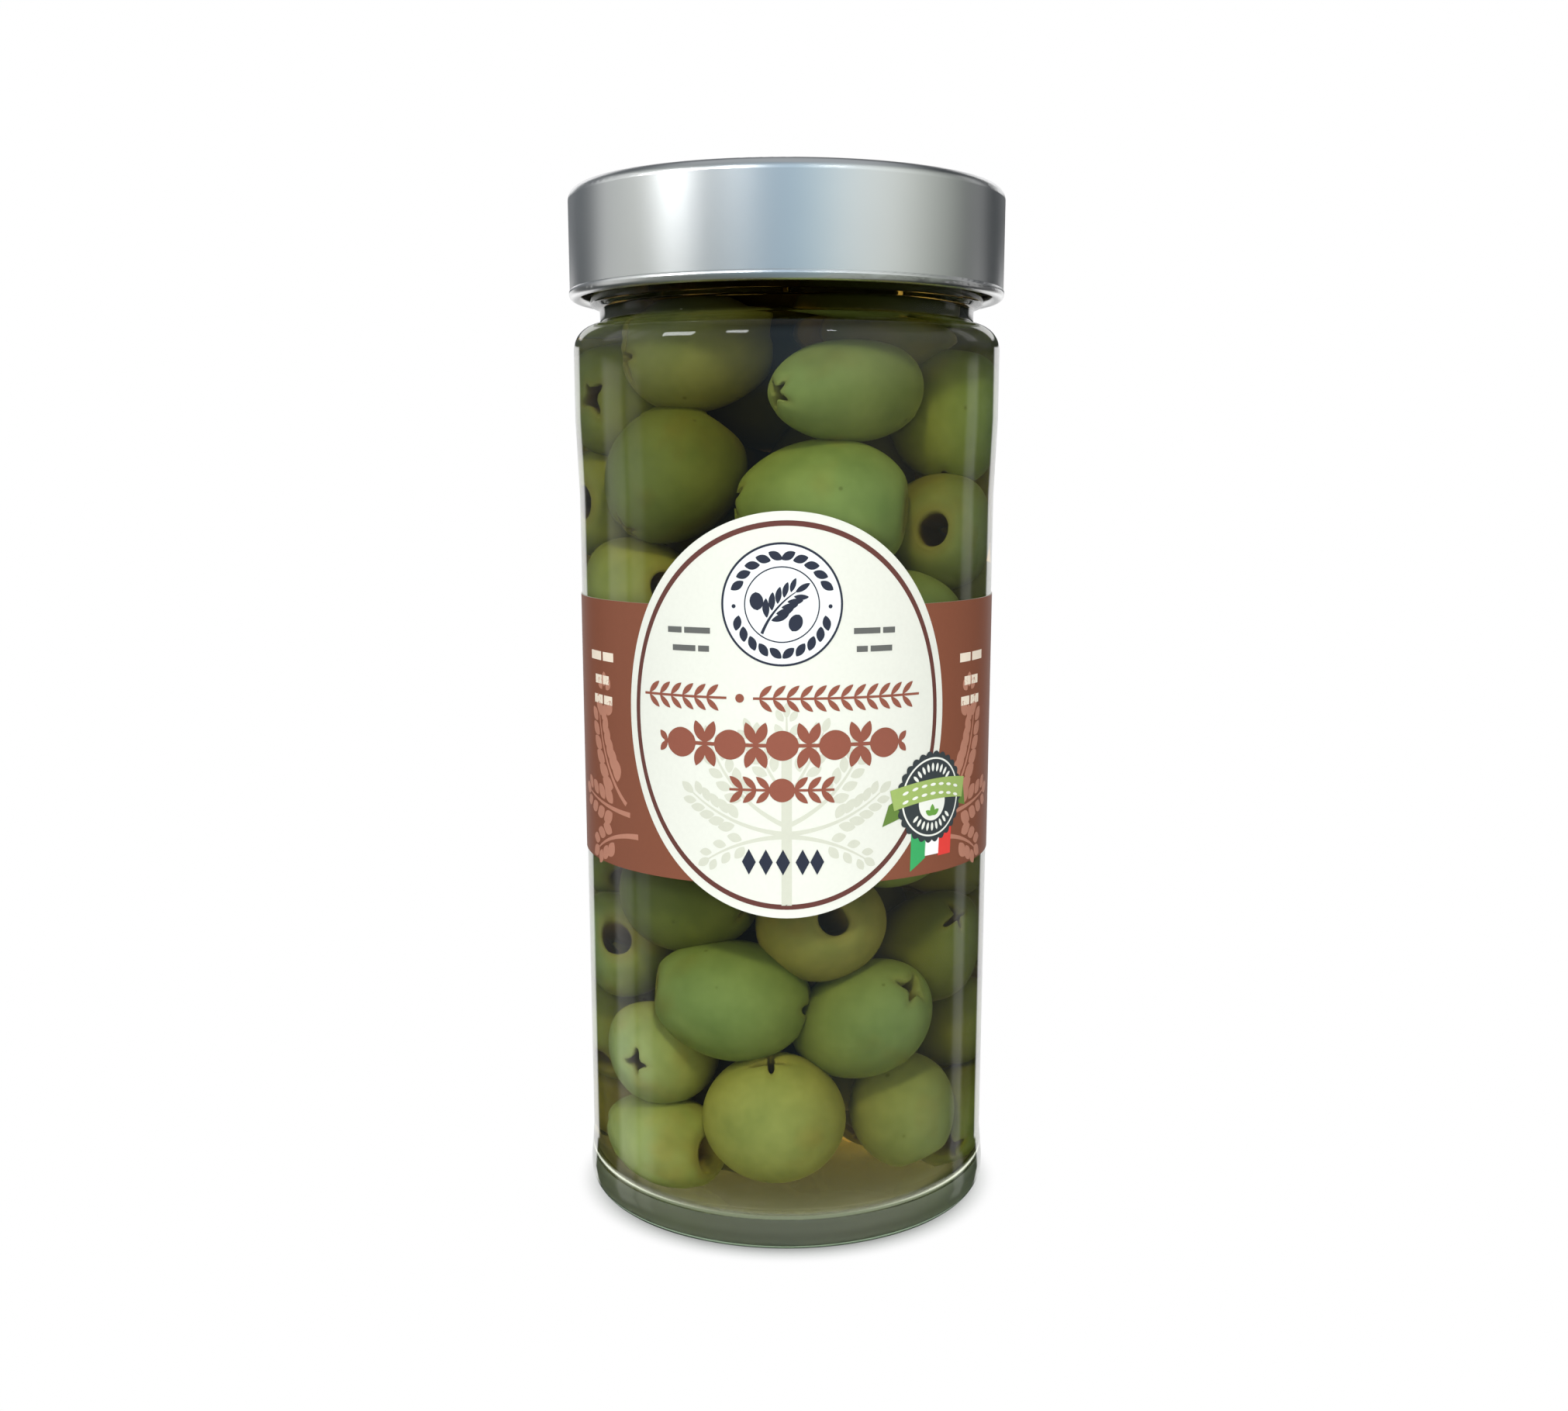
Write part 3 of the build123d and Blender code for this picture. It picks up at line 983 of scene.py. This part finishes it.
def disc(at, radius, steps=73, rings=7, scallops=0, depth=0.0):
    """A round field. Its edge may be scalloped: radius (1 + depth |sin(scallops turn / 2)|)."""
    turn = np.linspace(0, tau, steps)[:, None]
    edge = radius * (1 + depth * np.abs(np.sin(scallops * turn / 2)))
    reach = edge * np.linspace(0, 1, rings)[None, :]
    return at[0] + reach * np.cos(turn), at[1] + reach * np.sin(turn)


def quad(corners, steps=5):
    """A flat field with four corners, given from the lower left and counterclockwise: a point is
    a share of the way along the lower and the upper side, then a share of the way up."""
    low_left, low_right, high_right, high_left = np.array(corners)[:, :, None, None]
    along, up = np.meshgrid(np.linspace(0, 1, steps), np.linspace(0, 1, steps))
    low = low_left + (low_right - low_left) * along
    high = high_left + (high_right - high_left) * along
    return low + (high - low) * up


def beside(middle, across, up):
    """A place by its distances to the right of and above a middle."""
    return middle[0] + across, middle[1] + up


def round_about(middle, radius, turn):
    """A place by its distance and direction (degrees) from a middle."""
    return beside(middle, radius * cos(radians(turn)), radius * sin(radians(turn)))


def spray(at, length, lean, bend, pairs, leaf, stem, first, spread=38):
    """A curved stem that thins towards its end, with pairs of leaves (length, width) from the share
    first of its length on, and one leaf at its tip. The leaves spread from it in degrees."""
    t, heading, across, height = centre_line(at, length, lean, bend, 25)
    parts = [widened(heading, across, height, stem / 2 * (1 - 0.7 * t))] if stem else []
    for share in np.linspace(first, 0.93, pairs):
        on_stem = (np.interp(share, t, across), np.interp(share, t, height))
        turn = lean + bend * share
        size = 1.08 - 0.35 * share
        for way in (-1, 1):
            foot = round_about(on_stem, 0.35 * leaf[1], turn + way * 90)
            out = turn + way * spread
            parts.append(blade(foot, leaf[0] * size, out, leaf[1] * size, 0.75, -way * 14))
    parts.append(blade((across[-1], height[-1]), leaf[0] * 0.85, lean + bend, leaf[1] * 0.8, 0.75))
    return parts


def sprays(rows, spread):
    """Several sprays, each from its foot, length, lean, bend, pairs, leaf, stem and first."""
    return [part for row in rows for part in spray(*row, spread)]


line_inset, line_width = 1.45, 0.85
line_outer = (oval_half_width - line_inset, oval_half_height - line_inset)
line_inner = (line_outer[0] - line_width, line_outer[1] - line_width)
line_grid = hoop((0, oval_centre), line_outer, line_inner, 193)
printed("oval_line", [line_grid], 1, ink("brown_ink", 92, 52, 46))

# Sage leaf sprays in the lower half of the oval.
sage_half = sprays([
    ((0.6, 73.5), 16.6, 6, 34, 5, (3.2, 1.8), 0.8, 0.48),
    ((0.6, 75.0), 18.5, 26, 46, 5, (3.2, 1.8), 0.8, 0.42),
    ((0.8, 73.0), 13.0, -4, -30, 3, (2.8, 1.7), 0.8, 0.50),
    ((0.5, 80.0), 11.5, 56, 12, 4, (3.0, 1.6), 0.6, 0.35),
], 38)
trunk = bar((0, 61.5), 27.0, 1.7, lean=90)
sage_middle = [trunk, *spray((0, 84.5), 8.0, 90, 0, 3, (2.9, 1.5), 0.8, 0.3)]
sage_grids = sage_half + mirrored(sage_half) + sage_middle
printed("sage_sprays", sage_grids, 1, ink("sage_ink", 192, 195, 181))

# Paler leaf sprays on the rust field, at both sides of the oval.
rust_half = sprays([
    ((29.5, 74.3), 15.0, 3, 10, 4, (3.8, 2.5), 0.9, 0.35),
    ((30.5, 76.0), 17.5, 38, 46, 6, (4.0, 2.6), 0.8, 0.25),
    ((27.5, 70.8), 13.5, -2, -30, 3, (3.8, 2.5), 1.0, 0.55),
    ((36.5, 88.5), 7.0, 80, 12, 2, (3.0, 2.2), 0.0, 0.3),
], 40)
printed("rust_sprays", rust_half + mirrored(rust_half), 2, ink("pale_rust_ink", 170, 118, 98))

# Garlands: a fine one with a dot, a bold one with fat olives, and a short one.
fine_height, bold_height, short_height = 95.6, 88.0, 80.7
fine = []
for start, end in ((-25.2, -9.8), (-5.4, 23.2)):
    fine.append(bar((start, fine_height), end - start, 0.40))
    for foot in np.arange(start + 1.0, end - 1.4, 2.2):
        for way in (1, -1):
            fine.append(blade((foot, fine_height + way * 0.1), 2.9, way * 50, 0.95, 0.8, -way * 12))
fine.append(disc((-7.6, fine_height), 0.72, 25, 3))
bold = [bar((-21.2, bold_height), 41.0, 0.6, steps=41)]
for middle in np.linspace(-17.9, 16.5, 5):
    bold.append(blade((middle - 2.75, bold_height), 5.5, 0, 4.9, 0.5, 0, 17))
for joint in np.linspace(-13.6, 12.2, 4):
    for way in (-1, 1):
        foot = (joint, bold_height + way * 0.2)
        bold.append(blade(foot, 3.9, way * 58, 1.75, 0.8, way * 16))
        bold.append(blade(foot, 3.9, way * 122, 1.75, 0.8, -way * 16))
for tip, way in ((-20.6, 180), (19.2, 0)):
    bold += [blade((tip, bold_height), 2.2, way + lean, 1.1, 0.8) for lean in (-50, 50)]
short = [
    bar((-9.4, short_height), 17.2, 0.42),
    blade((-2.95, short_height), 4.4, 0, 3.9, 0.5, 0, 15),
]
for foot in (2.0, 4.2, 6.4):
    for way in (-1, 1):
        short.append(blade((foot - 0.75, short_height), 3.1, way * 50, 1.15, 0.8, -way * 12))
        short.append(blade((-foot - 0.75, short_height), 3.1, 180 - way * 50, 1.15, 0.8, way * 12))
printed("rust_garlands", fine + bold + short, 2, ink("rust_line_ink", 133, 76, 60))

# Dark lozenges low in the oval, and short dashes to both sides of the medallion.
navy = ink("navy_ink", 38, 43, 58)
lozenge = ((0, -2.15), (1.15, 0), (0, 2.15), (-1.15, 0))
lozenges = []
for across in (-6.2, -3.4, -0.6, 2.6, 5.0):
    lozenges.append(quad([beside((across, 68.75), *corner) for corner in lozenge]))
printed("navy_lozenges", lozenges, 2, navy)
dashes = []
for height, row in (
    (106.3, ((-20.2, 2.6), (-17.1, 4.6), (10.9, 4.6), (16.0, 2.2))),
    (103.4, ((-19.3, 4.2), (-14.6, 1.9), (11.4, 1.9), (13.8, 3.9))),
):
    dashes += [bar((across, height), length, 0.95, steps=7) for across, length in row]
printed("slate_dashes", dashes, 2, ink("slate_ink", 92, 94, 92))
ends = []
for across, height, length in ((33.6, 100.6, 8.6), (35.2, 96.6, 5.2), (34.2, 93.2, 6.8)):
    ends.append(bar((across, height), length * 0.42, 1.5, steps=7))
    ends.append(bar((across + length * 0.5, height), length * 0.5, 1.5, steps=7))
printed("cream_dashes", ends + mirrored(ends), 2, ink("cream_ink", 226, 214, 196))

# Medallion: a pale disc, two dark rings, a ring of small leaves and a sprig with two olives.
medallion = (-0.75, 110.6)
leaf_ring = 7.75
printed("medallion_field", [disc(medallion, 9.6, 97, 9)], 1, ink("pearl_ink", 221, 226, 228))
marks = [hoop(medallion, (9.8, 9.8), (9.45, 9.45)), hoop(medallion, (6.05, 6.05), (5.85, 5.85))]
for turn in np.arange(24) * 15.0 + 7.5:
    # Both sides of the ring stay free for a dot.
    if min(turn % 180, 180 - turn % 180) < 10:
        continue
    heading = turn + (56 if 90 < turn < 270 else -56)
    foot = round_about(round_about(medallion, leaf_ring, turn), -1.25, heading)
    marks.append(blade(foot, 2.5, heading, 1.35, 0.75))
marks += [disc(beside(medallion, across, -0.3), 0.33, 17, 3) for across in (-leaf_ring, leaf_ring)]
marks += spray(beside(medallion, -3.2, -4.6), 8.6, 68, -36, 5, (3.2, 1.15), 0.5, 0.3, 42)
marks += [
    blade(beside(medallion, -3.9, -0.9), 2.9, 96, 2.2, 0.5),
    blade(beside(medallion, 1.6, -4.2), 2.9, 66, 2.2, 0.5),
]
printed("medallion_print", marks, 2, navy)

# Seal: a dark scalloped disc with pale rings, a green ribbon, a small leaf and three short tails.
seal = (26.6, 77.9)
tail_top = -5.2
for name, swatch, left, foot, slant in (
    ("green_tail", (52, 158, 92), -4.6, -11.2, 1.0),
    ("white_tail", (236, 236, 236), -1.4, -9.9, 0.0),
    ("red_tail", (212, 58, 52), 1.8, -10.3, 0.0),
):
    field = quad([
        beside(seal, left - 0.2, foot - slant),
        beside(seal, left + 3.1, foot + slant),
        beside(seal, left + 3.3, tail_top),
        beside(seal, left, tail_top),
    ])
    printed(name, [field], 3, ink(name + "_ink", *swatch))
printed("seal_disc", [disc(seal, 7.3, 169, 7, 28, 0.07)], 4, ink("seal_ink", 50, 57, 60))
seal_white = ink("seal_white_ink", 222, 225, 218)
rings = [hoop(seal, (6.7, 6.7), (6.4, 6.4)), disc(beside(seal, 0, -0.9), 3.1, 49, 5)]
printed("seal_rings", rings, 5, seal_white)
beads = []
for turn in (*range(42, 139, 12), *range(222, 319, 12)):
    beads.append(blade(round_about(seal, 4.3, turn), 1.5, turn, 0.55, 0.5, 0, 7))
printed("seal_beads", beads, 5, seal_white)
left_fold = [(-10.4, -4.0), (-6.2, -2.6), (-6.0, 1.2), (-9.2, -0.5)]
right_fold = [(6.2, -1.8), (9.4, -2.6), (8.6, 1.4), (6.0, 1.9)]
folds = [quad([beside(seal, *corner) for corner in fold]) for fold in (left_fold, right_fold)]
printed("ribbon_tails", folds, 3, ink("ribbon_fold_ink", 92, 122, 52))
bow = blade(beside(seal, -8.6, 0.2), 17.2, 13, 3.5, 0, -24, 29)
printed("ribbon", [bow], 6, ink("ribbon_ink", 148, 172, 96))
# Stitches follow both edges of the ribbon.
stitches = []
for way in (-0.75, 0.75):
    for across in np.arange(7) * 2.0 - 6.6:
        foot = beside(seal, across, 1.35 - 0.025 * across * across + way)
        stitches.append(blade(foot, 1.35, -3.0 * across, 0.5, 0.5, 0, 7))
printed("ribbon_stitches", stitches, 7, seal_white)
leaflets = [blade(beside(seal, 0, -3.2), 2.0, 90, 1.1, 0.8, 0, 9)]
leaflets += [blade(beside(seal, 0, -3.1), 1.8, lean, 0.9, 0.8, 0, 9) for lean in (150, 30)]
printed("seal_leaf", leaflets, 6, ink("leaf_ink", 96, 150, 60))
